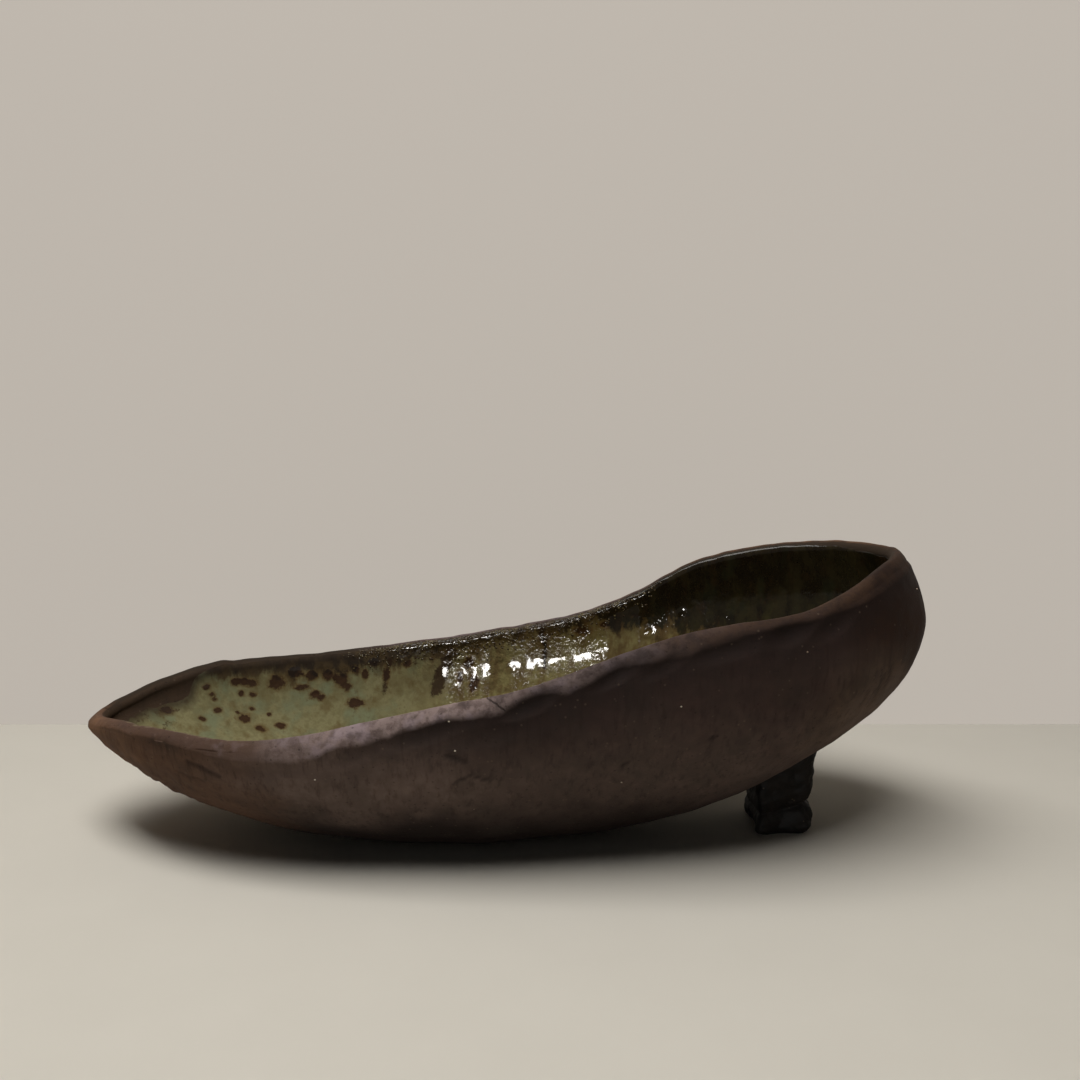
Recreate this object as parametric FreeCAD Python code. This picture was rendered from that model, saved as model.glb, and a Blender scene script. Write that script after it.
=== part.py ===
"""Ikebana suiban: a hand-built boat-shaped stoneware basin with a glazed inside and one clay foot.

Millimetres, +Z up. The origin is the middle of the flat patch on which the belly rests on the
table. +X runs along the basin to its raised round end, -X to its low pointed tip, and the long
side that shows its outer wall in front faces -Y.
"""
import FreeCAD, Part

import math
import os
from collections import namedtuple

from FreeCAD import Vector

# The basin, measured along the crest of its lip
RIM_LENGTH = 368.0
RIM_WIDTH = 150.0
TIP_REACH = 176.0
END_HEIGHT = 131.5
WALL = 8.0
FLOOR = 9.0
PATCH_LENGTH = 52.0
PATCH_WIDTH = 30.0

# The glaze inside
GLAZE_COAT = 0.8
GLAZE_SEAT = 0.15

# The torn lump of clay under the raised end, set in from the crest of the lip there
FOOT_LENGTH = 28.0
FOOT_WIDTH = 36.0
FOOT_INSET = 49.5
FOOT_SHIFT = 1.5
FOOT_REACH = RIM_LENGTH - TIP_REACH - FOOT_INSET

# Seventeen stations from the pointed tip to the raised end. Shares of the rim's length, of half
# its width, and of the end's height for the lip in front and the lip behind.
RIM_SHARES = (
    (0.000, 0.000, 0.408, 0.408),
    (0.018, 0.217, 0.430, 0.425),
    (0.057, 0.437, 0.453, 0.457),
    (0.114, 0.644, 0.466, 0.485),
    (0.185, 0.802, 0.459, 0.494),
    (0.264, 0.900, 0.474, 0.502),
    (0.348, 0.957, 0.527, 0.527),
    (0.438, 0.985, 0.588, 0.562),
    (0.527, 0.997, 0.641, 0.605),
    (0.614, 0.985, 0.719, 0.659),
    (0.700, 0.957, 0.804, 0.757),
    (0.780, 0.898, 0.842, 0.879),
    (0.850, 0.793, 0.862, 0.938),
    (0.910, 0.647, 0.916, 0.973),
    (0.958, 0.460, 0.977, 0.988),
    (0.989, 0.238, 0.998, 0.996),
    (1.000, 0.000, 1.000, 1.000),
)

# How slack the belly is below the lip at each station, where 1 is the quarter of an ellipse, and by
# what share of a right angle the wall there has turned in past upright.
BELLY_SHARES = (
    (1.400, 0.044),
    (1.290, 0.033),
    (1.170, 0.022),
    (1.080, 0.000),
    (1.040, -0.044),
    (1.030, -0.067),
    (1.030, -0.056),
    (1.030, 0.000),
    (1.050, 0.000),
    (1.090, 0.044),
    (1.130, 0.089),
    (1.150, 0.111),
    (1.145, 0.139),
    (1.135, 0.161),
    (1.130, 0.178),
    (1.130, 0.189),
    (1.130, 0.189),
)

# How far up the inner wall the glaze runs at each station, in front and behind
GLAZE_LINE_SHARES = (
    (0.93, 0.93),
    (0.95, 0.86),
    (0.97, 0.80),
    (0.97, 0.84),
    (0.97, 0.93),
    (0.97, 0.96),
    (0.97, 0.97),
    (0.97, 0.98),
    (0.97, 0.98),
    (0.97, 0.98),
    (0.97, 0.98),
    (0.97, 0.98),
    (0.97, 0.97),
    (0.97, 0.97),
    (0.97, 0.97),
    (0.97, 0.97),
    (0.97, 0.97),
)

# The foot from the table up: share of the belly's height above it, share of its full plan, and
# share of its length by which it wanders along the basin.
FOOT_LEVEL_SHARES = (
    (0.00, 0.90, 0.00),
    (0.10, 1.00, 0.00),
    (0.24, 0.97, -0.02),
    (0.36, 0.88, -0.05),
    (0.55, 0.97, -0.01),
    (0.80, 1.01, 0.01),
    (1.10, 1.04, 0.02),
    (1.60, 1.00, 0.02),
)

# Plan of the foot, counter-clockwise from its front left corner, as shares of its half sizes
FOOT_PLAN_SHARES = (
    (-0.94, -0.98),
    (-0.40, -1.00),
    (0.25, -0.96),
    (0.78, -0.90),
    (1.00, -0.42),
    (0.94, 0.20),
    (0.86, 0.74),
    (0.42, 1.00),
    (-0.20, 0.94),
    (-0.80, 0.98),
    (-1.00, 0.48),
    (-0.90, -0.24),
)

STATION_COUNT = 96
WALL_STEPS = 12
LIP_STEPS = 4
CURVE_DEGREE = 3

Station = namedtuple("Station", "crest outward patch slack lean glaze_share")


def rim_crests():
    """Crest of the lip once round, from the tip along the front to the end and back behind."""
    front = []
    back = []
    for along, across, front_rise, back_rise in RIM_SHARES:
        x = RIM_LENGTH * along - TIP_REACH
        y = RIM_WIDTH / 2 * across
        front.append(Vector(x, -y, END_HEIGHT * front_rise))
        back.append(Vector(x, y, END_HEIGHT * back_rise))
    return front + back[-2:0:-1]


def stations():
    """Everything the walls need at each of many places round the rim.

    The belly and the glaze line change smoothly from one row of the tables to the next. They are
    read from curves on which the crest's own x keeps neighbouring points apart.
    """
    crests = rim_crests()
    last = len(RIM_SHARES) - 1
    bellies = []
    glazes = []
    for number, crest in enumerate(crests):
        row = min(number, len(crests) - number)
        side = 0 if number <= last else 1
        bellies.append(Vector(crest.x, *BELLY_SHARES[row]))
        glazes.append(Vector(crest.x, GLAZE_LINE_SHARES[row][side], 0))
    places = shares_along(crests + crests[:1])
    rim = curve_through(crests, places, True)
    belly = curve_through(bellies, places, True)
    glaze = curve_through(glazes, places, True)
    middle = RIM_LENGTH / 2 - TIP_REACH
    found = []
    for number in range(STATION_COUNT):
        place = number / STATION_COUNT
        crest = rim.value(place)
        run = rim.tangent(place)[0]
        outward = Vector(run.y, -run.x, 0).normalize()
        turn = math.atan2(crest.y / RIM_WIDTH, (crest.x - middle) / RIM_LENGTH)
        patch = Vector(PATCH_LENGTH / 2 * math.cos(turn), PATCH_WIDTH / 2 * math.sin(turn), 0)
        slack, lean = list(belly.value(place))[1:]
        found.append(Station(crest, outward, patch, slack, lean, glaze.value(place).y))
    return found


def wall_point(station, share, depth, floor):
    """Point on the wall, a depth in from its outer face; share is 0 at the base and 1 at the lip."""
    full = math.pi / 2 * (1 + station.lean)
    angle = full * share
    spread = (math.sin(angle) / math.sin(full)) ** station.slack
    drop = math.copysign(abs(math.cos(angle)) ** station.slack, math.cos(angle))
    full_drop = math.copysign(abs(math.cos(full)) ** station.slack, math.cos(full))
    rise = (1 - drop) / (1 - full_drop)
    edge = station.crest + station.outward * (WALL / 2 - depth)
    reach = edge - station.patch
    top = station.crest.z - WALL / 2
    return Vector(
        station.patch.x + reach.x * spread,
        station.patch.y + reach.y * spread,
        floor + (top - floor) * rise,
    )


def wall_steps():
    """Shares up the wall at which it gets a ring, closer together towards the lip."""
    return [math.sin(math.pi / 2 * step / WALL_STEPS) for step in range(WALL_STEPS + 1)]


def wall_ring(round_rim, share, depth, floor):
    return [wall_point(station, share, depth, floor) for station in round_rim]


def lip_ring(round_rim, step):
    """Ring on the rounded lip, from step 1 by the outer face to the last one by the inner face."""
    angle = math.pi * step / LIP_STEPS
    out = WALL / 2 * math.cos(angle)
    up = WALL / 2 * math.sin(angle) - WALL / 2
    return [s.crest + s.outward * out + Vector(0, 0, up) for s in round_rim]


def shares_along(points):
    """Share of the way along a run of points at which each point lies."""
    walked = [0]
    for start, end in zip(points, points[1:]):
        walked.append(walked[-1] + start.distanceToPoint(end))
    return [length / walked[-1] for length in walked]


def curve_through(points, places, closed):
    curve = Part.BSplineCurve()
    curve.interpolate(Points=points, Parameters=places, PeriodicFlag=closed)
    return curve


def skin(rings, breaks=()):
    """Solid whose side runs smoothly through rings of points, with a flat face at either end.

    The side is one smooth surface, parted into faces at the rings that breaks numbers.
    """
    widest = max(rings, key=lambda ring: ring[0].distanceToPoint(ring[len(ring) // 2]))
    round_places = shares_along(widest + widest[:1])
    columns = [shares_along(column) for column in zip(*rings)]
    up_places = [sum(places) / len(places) for places in zip(*columns)]
    ring_curves = [curve_through(ring, round_places, True) for ring in rings]
    poles = zip(*[curve.getPoles() for curve in ring_curves])
    column_curves = [curve_through(list(column), up_places, False) for column in poles]
    surface = Part.BSplineSurface()
    surface.buildFromPolesMultsKnots(
        [curve.getPoles() for curve in column_curves],
        ring_curves[0].getMultiplicities(),
        column_curves[0].getMultiplicities(),
        ring_curves[0].getKnots(),
        column_curves[0].getKnots(),
        True,
        False,
        CURVE_DEGREE,
        CURVE_DEGREE,
    )
    edges = [0] + [up_places[number] for number in breaks] + [1]
    faces = []
    for low, high in zip(edges, edges[1:]):
        band = surface.copy()
        band.segment(0, 1, low, high)
        faces.append(band.toShape())
    for place in (0, 1):
        faces.append(Part.Face(Part.Wire(surface.vIso(place).toShape())))
    shell = Part.Shell(faces)
    shell.sewShape()
    solid = Part.Solid(shell)
    if solid.Volume < 0:
        solid.reverse()
    return solid


def clay_body():
    """The basin: one wall of stoneware, pinched to a round lip, thicker in the floor."""
    round_rim = stations()
    up = wall_steps()
    outer = [wall_ring(round_rim, share, 0, 0) for share in up]
    lip = [lip_ring(round_rim, step) for step in range(1, LIP_STEPS)]
    inner = [wall_ring(round_rim, share, WALL, FLOOR) for share in reversed(up)]
    return skin(outer + lip + inner, (WALL_STEPS, WALL_STEPS + LIP_STEPS))


def glaze_rings(round_rim, lift):
    """Rings up the inner wall to the glaze line, lifted off the clay towards the hollow."""
    rings = []
    for share in wall_steps():
        rings.append(
            [wall_point(s, share * s.glaze_share, WALL + lift, FLOOR + lift) for s in round_rim]
        )
    return rings


def glaze_lining():
    """The glass fired onto the inside, ending in an uneven line below the lip."""
    round_rim = stations()
    back = glaze_rings(round_rim, GLAZE_SEAT)
    front = glaze_rings(round_rim, GLAZE_SEAT + GLAZE_COAT)
    return skin(back + front[::-1], (WALL_STEPS, WALL_STEPS + 1))


def height_under(solid, x, y):
    """Height of the lowest point of a solid above one spot of the table."""
    plumb = Part.makeLine(Vector(x, y, 0), Vector(x, y, END_HEIGHT))
    return solid.common(plumb).BoundBox.ZMin


def foot(clay):
    """The lump pressed on below the raised end: level on the table, shaped above by the belly."""
    height = height_under(clay, FOOT_REACH, FOOT_SHIFT)
    rings = []
    for rise, swell, drift in FOOT_LEVEL_SHARES:
        ring = []
        for along, across in FOOT_PLAN_SHARES:
            x = FOOT_REACH + FOOT_LENGTH * (along * swell / 2 + drift)
            y = FOOT_SHIFT + FOOT_WIDTH / 2 * across * swell
            ring.append(Vector(x, y, height * rise))
        rings.append(ring)
    pieces = skin(rings).cut(clay).Solids
    return min(pieces, key=lambda piece: piece.BoundBox.ZMin)


def main():
    clay = clay_body()
    nodes = {"clay_body": clay, "glaze_lining": glaze_lining(), "foot": foot(clay)}
    os.makedirs("parts", exist_ok=True)
    for name, solid in nodes.items():
        solid.exportStep(os.path.join("parts", name + ".step"))
        print(name, "valid" if solid.isValid() else "NOT VALID", round(solid.Volume), "mm3")


main()
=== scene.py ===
import math

import bpy
import numpy as np
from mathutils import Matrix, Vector, noise
from mathutils.bvhtree import BVHTree


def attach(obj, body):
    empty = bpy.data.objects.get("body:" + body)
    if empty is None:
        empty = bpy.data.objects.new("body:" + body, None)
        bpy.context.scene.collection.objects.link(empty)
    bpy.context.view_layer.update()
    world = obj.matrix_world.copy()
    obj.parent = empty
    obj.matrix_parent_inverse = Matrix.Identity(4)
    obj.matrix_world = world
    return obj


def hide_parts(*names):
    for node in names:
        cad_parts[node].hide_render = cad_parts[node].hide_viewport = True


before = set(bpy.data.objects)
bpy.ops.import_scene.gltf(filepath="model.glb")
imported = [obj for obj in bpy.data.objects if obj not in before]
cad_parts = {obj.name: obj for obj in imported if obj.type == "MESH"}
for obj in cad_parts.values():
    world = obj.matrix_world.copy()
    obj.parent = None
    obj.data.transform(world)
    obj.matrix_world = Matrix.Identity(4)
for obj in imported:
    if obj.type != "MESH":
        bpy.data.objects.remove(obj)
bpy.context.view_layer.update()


# The basin
# One wall of iron-bearing stoneware, coiled up by hand from a flat patch and beaten thin, then
# thumbed along the lip. The outside stays bare and fired dark purple-brown, rusty at both ends;
# its colour also carries painted shade low down, under the lip and up the raised end, and painted
# bounce light at mid height. Sizes here are millimetres, and become metres when a mesh is made.
RIM_LENGTH = 368.0
RIM_WIDTH = 150.0
TIP_REACH = 176.0
END_HEIGHT = 131.5
WALL = 8.0
FLOOR = 9.0
PATCH_LENGTH = 52.0
PATCH_WIDTH = 30.0
STATIONS = 720
WALL_ROWS = 84
LIP_ROWS = 16

# The rim from the low tip to the raised end: how far along and across, how high in front, behind
RIM = np.array([
    (0.000, 0.000, 0.408, 0.408), (0.018, 0.217, 0.430, 0.425), (0.057, 0.437, 0.453, 0.457),
    (0.114, 0.644, 0.466, 0.485), (0.185, 0.802, 0.459, 0.494), (0.264, 0.900, 0.474, 0.502),
    (0.348, 0.957, 0.527, 0.527), (0.438, 0.985, 0.588, 0.562), (0.527, 0.997, 0.641, 0.605),
    (0.614, 0.985, 0.719, 0.659), (0.700, 0.957, 0.804, 0.757), (0.780, 0.898, 0.842, 0.879),
    (0.850, 0.793, 0.862, 0.938), (0.910, 0.647, 0.916, 0.973), (0.958, 0.460, 0.977, 0.988),
    (0.989, 0.238, 0.998, 0.996), (1.000, 0.000, 1.000, 1.000),
])

# How slack the belly hangs at each of those places, and how far the wall turns in at the top
BELLY = np.array([
    (1.400, 0.044), (1.290, 0.033), (1.170, 0.022), (1.080, 0.000), (1.040, -0.044),
    (1.030, -0.067), (1.030, -0.056), (1.030, 0.000), (1.050, 0.000), (1.090, 0.044),
    (1.130, 0.089), (1.150, 0.111), (1.145, 0.139), (1.135, 0.161), (1.130, 0.178),
    (1.130, 0.189), (1.130, 0.189),
])

# How far below its crest the lip has been smoothed over on the outside, along the front
LIP_BAND_FRONT = np.array([
    (-176, 4), (-160, 3), (-147, 2.5), (-130, 3.5), (-115, 5), (-96, 7), (-80, 8.8), (-66, 9.2),
    (-54, 7.2), (-43, 8), (-25, 7), (-10, 5.2), (4, 6.5), (14, 7.2), (21, 4.2), (30, 3.6),
    (41, 6.6), (50, 6), (61, 4.2), (70, 6), (84, 7.6), (94, 7), (105, 5.4), (118, 3), (134, 2.4),
    (145, 3.4), (154, 4.6), (166, 6.5), (180, 6.5), (192, 6),
])

# How pale the lip is, partly rubbed clay and partly painted highlight where its top catches
# the light: along, in front, behind
LIP_RUBBED_AND_LIT = np.array([
    (-176, 0.25, 0.25), (-168, 0.35, 0.08), (-156, 0.55, 0.05), (-140, 0.66, 0.03),
    (-122, 0.66, 0.02), (-108, 0.55, 0.02), (-96, 0.42, 0.05), (-84, 0.40, 0.08),
    (-72, 0.50, 0.12), (-54, 0.88, 0.20), (-24, 0.88, 0.32), (0, 0.90, 0.38),
    (22, 0.50, 0.40), (45, 0.48, 0.42), (62, 0.28, 0.45), (90, 0.26, 0.50), (130, 0.28, 0.60),
    (160, 0.30, 0.75), (172, 0.16, 0.80), (184, 0.14, 0.62), (192, 0.26, 0.26),
])

# Where a thumb pressed the wall in just under the lip in front: along, below the crest, half
# length, half height and depth
THUMB_MARKS = np.array([
    (-131, 6.0, 15.0, 4.5, 0.9), (-18, 9.5, 18.0, 5.5, 1.3), (25, 6.5, 13.0, 5.5, 2.0),
    (59, 6.5, 11.0, 5.0, 1.7), (78, 9.5, 9.0, 4.5, 0.9), (104, 8.5, 16.0, 5.5, 1.5),
    (128, 6.0, 13.0, 5.5, 2.0), (147, 8.5, 11.0, 5.0, 1.4), (-86, 13.0, 20.0, 5.0, 0.8),
    (10, 15.0, 20.0, 6.0, 0.7), (-46, 12.0, 12.0, 5.0, 0.8),
])

# Nicks, drag marks and pits in the front wall: along, height, half width and depth at each end
SCORES = (
    ((-118.0, 50.0), (-110.6, 47.6), (-104.0, 44.6), 1.6, 0.38),
    ((-124.0, 44.5), (-118.0, 42.5), (-112.0, 41.5), 1.2, 0.20),
    ((-5.0, 46.2), (1.1, 49.2), (9.0, 46.8), 0.9, 0.45),
    ((8.0, 46.8), (11.0, 47.6), (14.5, 46.6), 0.6, 0.30),
    ((99.0, 63.6), (99.7, 63.3), (100.4, 63.2), 1.1, 0.70),
    ((62.4, 53.4), (63.7, 53.2), (65.2, 53.4), 1.0, 0.60),
    ((-8.0, 58.6), (-4.0, 57.8), (-1.0, 56.0), 1.6, 0.45),
    ((174.5, 84.0), (173.5, 77.5), (171.5, 71.0), 0.8, 0.35),
    ((178.5, 88.0), (177.5, 82.0), (176.0, 77.0), 0.7, 0.30),
    ((167.5, 78.0), (167.0, 74.0), (165.5, 70.0), 0.9, 0.30),
)

# The lip behind, from the tip on: along, and how much higher it stands than the rim
BACK_LIP_RAISED = np.array([
    (-178, 1.2), (-171, 2.0), (-150, 2.4), (-136, 2.2), (-127, 1.3), (-100, 1.2), (-75, 1.0),
    (-50, 0.5), (0, 0),
])

# One nick in the front lip and one small peak behind: along and half width, and how tall both are
LIP_NICK = (-145, 3)
LIP_PEAK = (-131.8, 3.5)
LIP_STEP = 0.9

# The smoothed band on the outside of the lip: its depth behind, its least depth, how round its
# shoulder is, and how soon the roll of clay that it pushed down ends below and above its edge
BAND_BEHIND = 4.6
BAND_LEAST = 1.8
SHOULDER = 1.5
ROLL_BELOW = 1.3
ROLL_ABOVE = 3.5

# Thumb marks that go on round the back of the wall, and how deep they and the front ones are
MARKS_BEHIND = 26
MARK_BEHIND_DEPTH = 1.1
MARK_SHARE = 0.75

# How deep a score is when its painted shade is fully dark
DARK_SCORE = 0.45

# The crack in the front lip, seen from the front
LIP_CRACK = ((6.6, 0, 84.0), (8.2, 0, 82.0), (11.2, 0, 80.6), (15.8, 0, 77.6))


def closed_curve(points, places, wanted):
    """Smooth closed curve through points that lie at places round it, read at the wanted places."""
    count = len(points)
    gaps = np.diff(np.append(places, 1.0))
    slopes = (np.roll(points, -1, axis=0) - points) / gaps[:, None]
    stiffness = np.zeros((count, count))
    pull = np.zeros_like(points)
    for n in range(count):
        stiffness[n, n - 1] += gaps[n - 1]
        stiffness[n, n] += 2 * (gaps[n - 1] + gaps[n])
        stiffness[n, (n + 1) % count] += gaps[n]
        pull[n] = 6 * (slopes[n] - slopes[n - 1])
    bends = np.linalg.solve(stiffness, pull)
    start = np.searchsorted(places, wanted, side="right") - 1
    end = (start + 1) % count
    gap = gaps[start][:, None]
    far = (wanted - places[start])[:, None] / gap
    near = 1 - far
    straight = near * points[start] + far * points[end]
    return straight + gap**2 / 6 * ((near**3 - near) * bends[start] + (far**3 - far) * bends[end])


def wander(places, size, strand):
    """Gentle wandering between -1 and 1, alike over about that size; each strand differs."""
    return np.array([noise.noise(Vector(p) / size + Vector((7.3 * strand, 0, 0))) for p in places])


def ramp(values, start, end):
    """Share of the way that values have gone from a start to an end, between 0 and 1."""
    return np.clip((values - start) / (end - start), 0, 1)


def hump(values, middle, width):
    """1 at a middle, falling away to nothing well beyond a width."""
    return np.exp(-(((values - middle) / width) ** 2))


front = np.stack([
    RIM_LENGTH * RIM[:, 0] - TIP_REACH, -RIM_WIDTH / 2 * RIM[:, 1], END_HEIGHT * RIM[:, 2],
], 1)
back = np.stack([front[:, 0], -front[:, 1], END_HEIGHT * RIM[:, 3]], 1)
crests = np.vstack([front, back[-2:0:-1]])
chords = np.linalg.norm(np.roll(crests, -1, axis=0) - crests, axis=1)
places = np.concatenate([[0], np.cumsum(chords)])[:-1] / chords.sum()
stations = np.arange(STATIONS) / STATIONS
crest = closed_curve(crests, places, stations)
lip_x, lip_y, lip_z = crest.T  # raising lip_z raises the crest itself
bellies = np.vstack([BELLY, BELLY[-2:0:-1]])
slack, lean = closed_curve(bellies, places, stations).T
runs = np.roll(crest, -1, axis=0) - np.roll(crest, 1, axis=0)
outward = np.stack([runs[:, 1], -runs[:, 0], np.zeros(STATIONS)], 1)
outward /= np.linalg.norm(outward, axis=1)[:, None]
turn = np.arctan2(lip_y / RIM_WIDTH, (lip_x - RIM_LENGTH / 2 + TIP_REACH) / RIM_LENGTH)
patch = np.stack([PATCH_LENGTH / 2 * np.cos(turn), PATCH_WIDTH / 2 * np.sin(turn), 0 * turn], 1)
in_front = lip_y < 0

# The lip was never quite level: it rises and falls under the fingers
lip_z += 0.45 * wander(crest, 22, 1) + np.where(in_front, 0.25, 0.45) * wander(crest, 8, 2)
lip_z -= LIP_STEP * in_front * hump(lip_x, *LIP_NICK)
lip_z += LIP_STEP * ~in_front * hump(lip_x, *LIP_PEAK)
lip_z += np.interp(lip_x, *BACK_LIP_RAISED.T) * ramp(lip_y, -12, 4)


def wall(share, depth, floor):
    """Rings of the wall at a depth in from its outer face; share is 0 at the base, 1 at the lip."""
    full = np.pi / 2 * (1 + lean)
    angle = full * share[:, None]
    spread = (np.sin(angle) / np.sin(full)) ** slack
    drop = np.sign(np.cos(angle)) * np.abs(np.cos(angle)) ** slack
    full_drop = np.sign(np.cos(full)) * np.abs(np.cos(full)) ** slack
    edge = crest + outward * (WALL / 2 - depth)
    rings = patch + (edge - patch) * spread[..., None]
    rings[..., 2] = floor + (lip_z - WALL / 2 - floor) * (1 - drop) / (1 - full_drop)
    return rings


def near_line(x, z, score):
    """How deep a score is at points of the front wall: 1 along its middle, 0 beyond its edge."""
    deepest = np.zeros_like(x)
    for (x0, z0), (x1, z1) in zip(score[:2], score[1:3]):
        long, high = x1 - x0, z1 - z0
        along = np.clip(((x - x0) * long + (z - z0) * high) / (long**2 + high**2), 0, 1)
        away = np.hypot(x - x0 - along * long, z - z0 - along * high)
        deepest = np.maximum(deepest, np.clip(1 - (away / score[3]) ** 2, 0, 1))
    return deepest


climb = np.sin(np.pi / 2 * np.arange(WALL_ROWS + 1) / WALL_ROWS)
half_turn = np.pi * np.arange(1, LIP_ROWS) / LIP_ROWS
outer_turn = half_turn[: LIP_ROWS // 2]
inner_turn = half_turn[LIP_ROWS // 2:]
up = np.array([0, 0, 1.0])

# Outside: the plain wall, then straight on up past the lip, before the lip is smoothed over
outer = np.concatenate([
    wall(climb, 0, 0),
    crest + outward * WALL / 2 + (WALL / 2 * (np.sin(outer_turn) - 1))[:, None, None] * up,
])
below = lip_z - outer[..., 2]
ragged = 0.9 * wander(crest, 9, 3) + 0.7 * wander(crest, 3.2, 4)
band_front = np.interp(lip_x, *LIP_BAND_FRONT.T)
band = np.where(in_front, band_front, BAND_BEHIND + 1.2 * wander(crest, 30, 5))
off_ends = ramp(np.abs(lip_y), 6, 20)
band = np.maximum(off_ends * band + (1 - off_ends) * band_front + ragged, BAND_LEAST)
risen = np.clip(1 - below / band, 0, 1)
cut = WALL / 2 * (1 - (1 - risen**SHOULDER) ** (1 / SHOULDER))
past = below - band
roll = np.exp(-np.abs(past) / np.where(past > 0, ROLL_BELOW, ROLL_ABOVE))
roll *= 0.55 + 0.35 * wander(crest, 14, 6)
thumbed = np.zeros_like(below)
for along, under, half_length, half_height, depth in THUMB_MARKS:
    lower = below - under
    away = ((lip_x - along + 0.8 * lower) / half_length) ** 2 + (lower / half_height) ** 2
    thumbed = np.maximum(thumbed, MARK_SHARE * depth * np.clip(1 - away, 0, 1) ** 1.4 * in_front)
for number in range(MARKS_BEHIND):
    middle = crest[(STATIONS // 2 + number * 14 + 5 * (number % 3)) % STATIONS]
    away = np.linalg.norm(crest - middle, axis=1) / (9 + 3 * math.sin(5.1 * number))
    under = 7 + 2.5 * math.sin(3.7 * number)
    away = away**2 + ((below - under) / 5) ** 2
    thumbed = np.maximum(thumbed, MARK_BEHIND_DEPTH * np.clip(1 - away, 0, 1) ** 1.3)
score_shade = np.zeros_like(below)
score_depth = np.zeros_like(below)
for score in SCORES:
    here = near_line(outer[..., 0], outer[..., 2], score) * (outer[..., 1] < 0)
    score_shade = np.maximum(score_shade, here * min(1, score[4] / DARK_SCORE))
    score_depth = np.maximum(score_depth, here * score[4])
fuller = 1.5 * ramp(outer[..., 0], 150, 180) * hump(outer[..., 2], 78, 26)
outer += outward * (0.6 * roll + fuller - cut - thumbed - score_depth)[..., None]

# The underside of the tip was left lumpy where it came off the board
lumpy = ramp(outer[..., 0], -100, -125) * ramp(below, 8, 18)
for row in range(8, len(climb)):
    if lumpy[row].max() > 0:
        swell = lumpy[row] * (wander(outer[row], 7, 13) + 0.5 * wander(outer[row], 3.2, 14))
        outer[row, :, 2] += 2.0 * swell
        outer[row, :, 1] += 1.0 * swell * np.sign(outer[row, :, 1])

# Inside: the plain half of the lip, then down the wall to the floor, with few rows under the glaze
inner_rows = np.concatenate([climb[-1:-26:-1], climb[-30::-6], [0]])
inner_lip = crest + outward * (WALL / 2 * np.cos(inner_turn))[:, None, None]
inner_lip = inner_lip + (WALL / 2 * (np.sin(inner_turn) - 1))[:, None, None] * up
inner = np.concatenate([inner_lip, wall(inner_rows, WALL, FLOOR)])


def in_scene(name, data):
    """A new object in the scene, made of some data."""
    made = bpy.data.objects.new(name, data)
    bpy.context.scene.collection.objects.link(made)
    return made


def loft(name, rings):
    """Closed mesh through rings of points in millimetres, with a fan of faces over both ends."""
    rows, around = rings.shape[:2]
    corner = np.arange(rows * around).reshape(rows, around)
    following = np.roll(corner, -1, axis=1)
    quads = np.stack([corner[:-1], following[:-1], following[1:], corner[1:]], -1).reshape(-1, 4)
    bottom, top = rows * around, rows * around + 1
    faces = quads.tolist()
    faces += [(bottom, b, a) for a, b in zip(corner[0].tolist(), following[0].tolist())]
    faces += [(top, a, b) for a, b in zip(corner[-1].tolist(), following[-1].tolist())]
    points = np.vstack([rings.reshape(-1, 3), rings[0].mean(0), rings[-1].mean(0)]) * 0.001
    mesh = bpy.data.meshes.new(name)
    mesh.from_pydata(points.tolist(), [], faces)
    mesh.shade_smooth()
    return in_scene(name, mesh)


def mark(piece, name, values):
    """Keeps one number at every point of a lofted piece, for its relief and its material."""
    layer = piece.data.attributes.new(name, "FLOAT", "POINT")
    ends = [0.0] * (len(piece.data.vertices) - values.size)
    layer.data.foreach_set("value", np.append(values.ravel(), ends).astype(np.float32))


def along_lip(table):
    """Reads a table of places along with values in front and behind at every station of the lip."""
    before, behind = (np.interp(lip_x, table[:, 0], table[:, side]) for side in (1, 2))
    return np.where(in_front, before, behind)


class Wire:
    """What comes first out of a node; a name or number in brackets gives what else comes out of it.
    A plain sum on a wire adds a node that does the sum."""

    def __init__(self, socket):
        self.socket = socket
        self.tree = socket.id_data

    def __getitem__(self, name):
        return Wire(self.socket.node.outputs[name])

    def __add__(self, other):
        return maths("ADD", self, other)

    def __sub__(self, other):
        return maths("SUBTRACT", self, other)

    def __rsub__(self, other):
        return maths("SUBTRACT", other, self)

    def __mul__(self, other):
        return maths("MULTIPLY", self, other)

    def __rtruediv__(self, other):
        return maths("DIVIDE", other, self)

    __radd__ = __add__
    __rmul__ = __mul__


def node(tree, kind, links=None, **settings):
    """Adds a node, sets its properties, fills its sockets with values or wires, gives its wire."""
    made = tree.nodes.new(kind)
    for name, value in settings.items():
        setattr(made, name, value)
    for name, value in (links or {}).items():
        if isinstance(value, Wire):
            tree.links.new(value.socket, made.inputs[name])
        else:
            made.inputs[name].default_value = value
    return Wire(made.outputs[0]) if made.outputs else None


def tree_of(*values):
    """The node tree of the first wire among some values."""
    return next(value.tree for value in values if isinstance(value, Wire))


def maths(operation, first, second):
    """One sum on two numbers, at least one of them a wire."""
    tree = tree_of(first, second)
    return node(tree, "ShaderNodeMath", {0: first, 1: second}, operation=operation)


def vector_maths(operation, first, second):
    """One sum on a place or direction and another, or on one and a number when it is scaled."""
    links = {0: first, "Scale" if operation == "SCALE" else 1: second}
    made = node(tree_of(first, second), "ShaderNodeVectorMath", links, operation=operation)
    return made["Value" if operation in ("DOT_PRODUCT", "DISTANCE") else "Vector"]


def noise_at(place, size, detail=3.0, roughness=0.55, stretch=(1, 1, 1)):
    """Cloudy noise whose clouds are about a size in metres, drawn out along a stretched axis."""
    scaled = vector_maths("MULTIPLY", place, [1 / (size * s) for s in stretch])
    return node(place.tree, "ShaderNodeTexNoise", {
        "Vector": scaled, "Scale": 1.0, "Detail": detail, "Roughness": roughness,
    })


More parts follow.
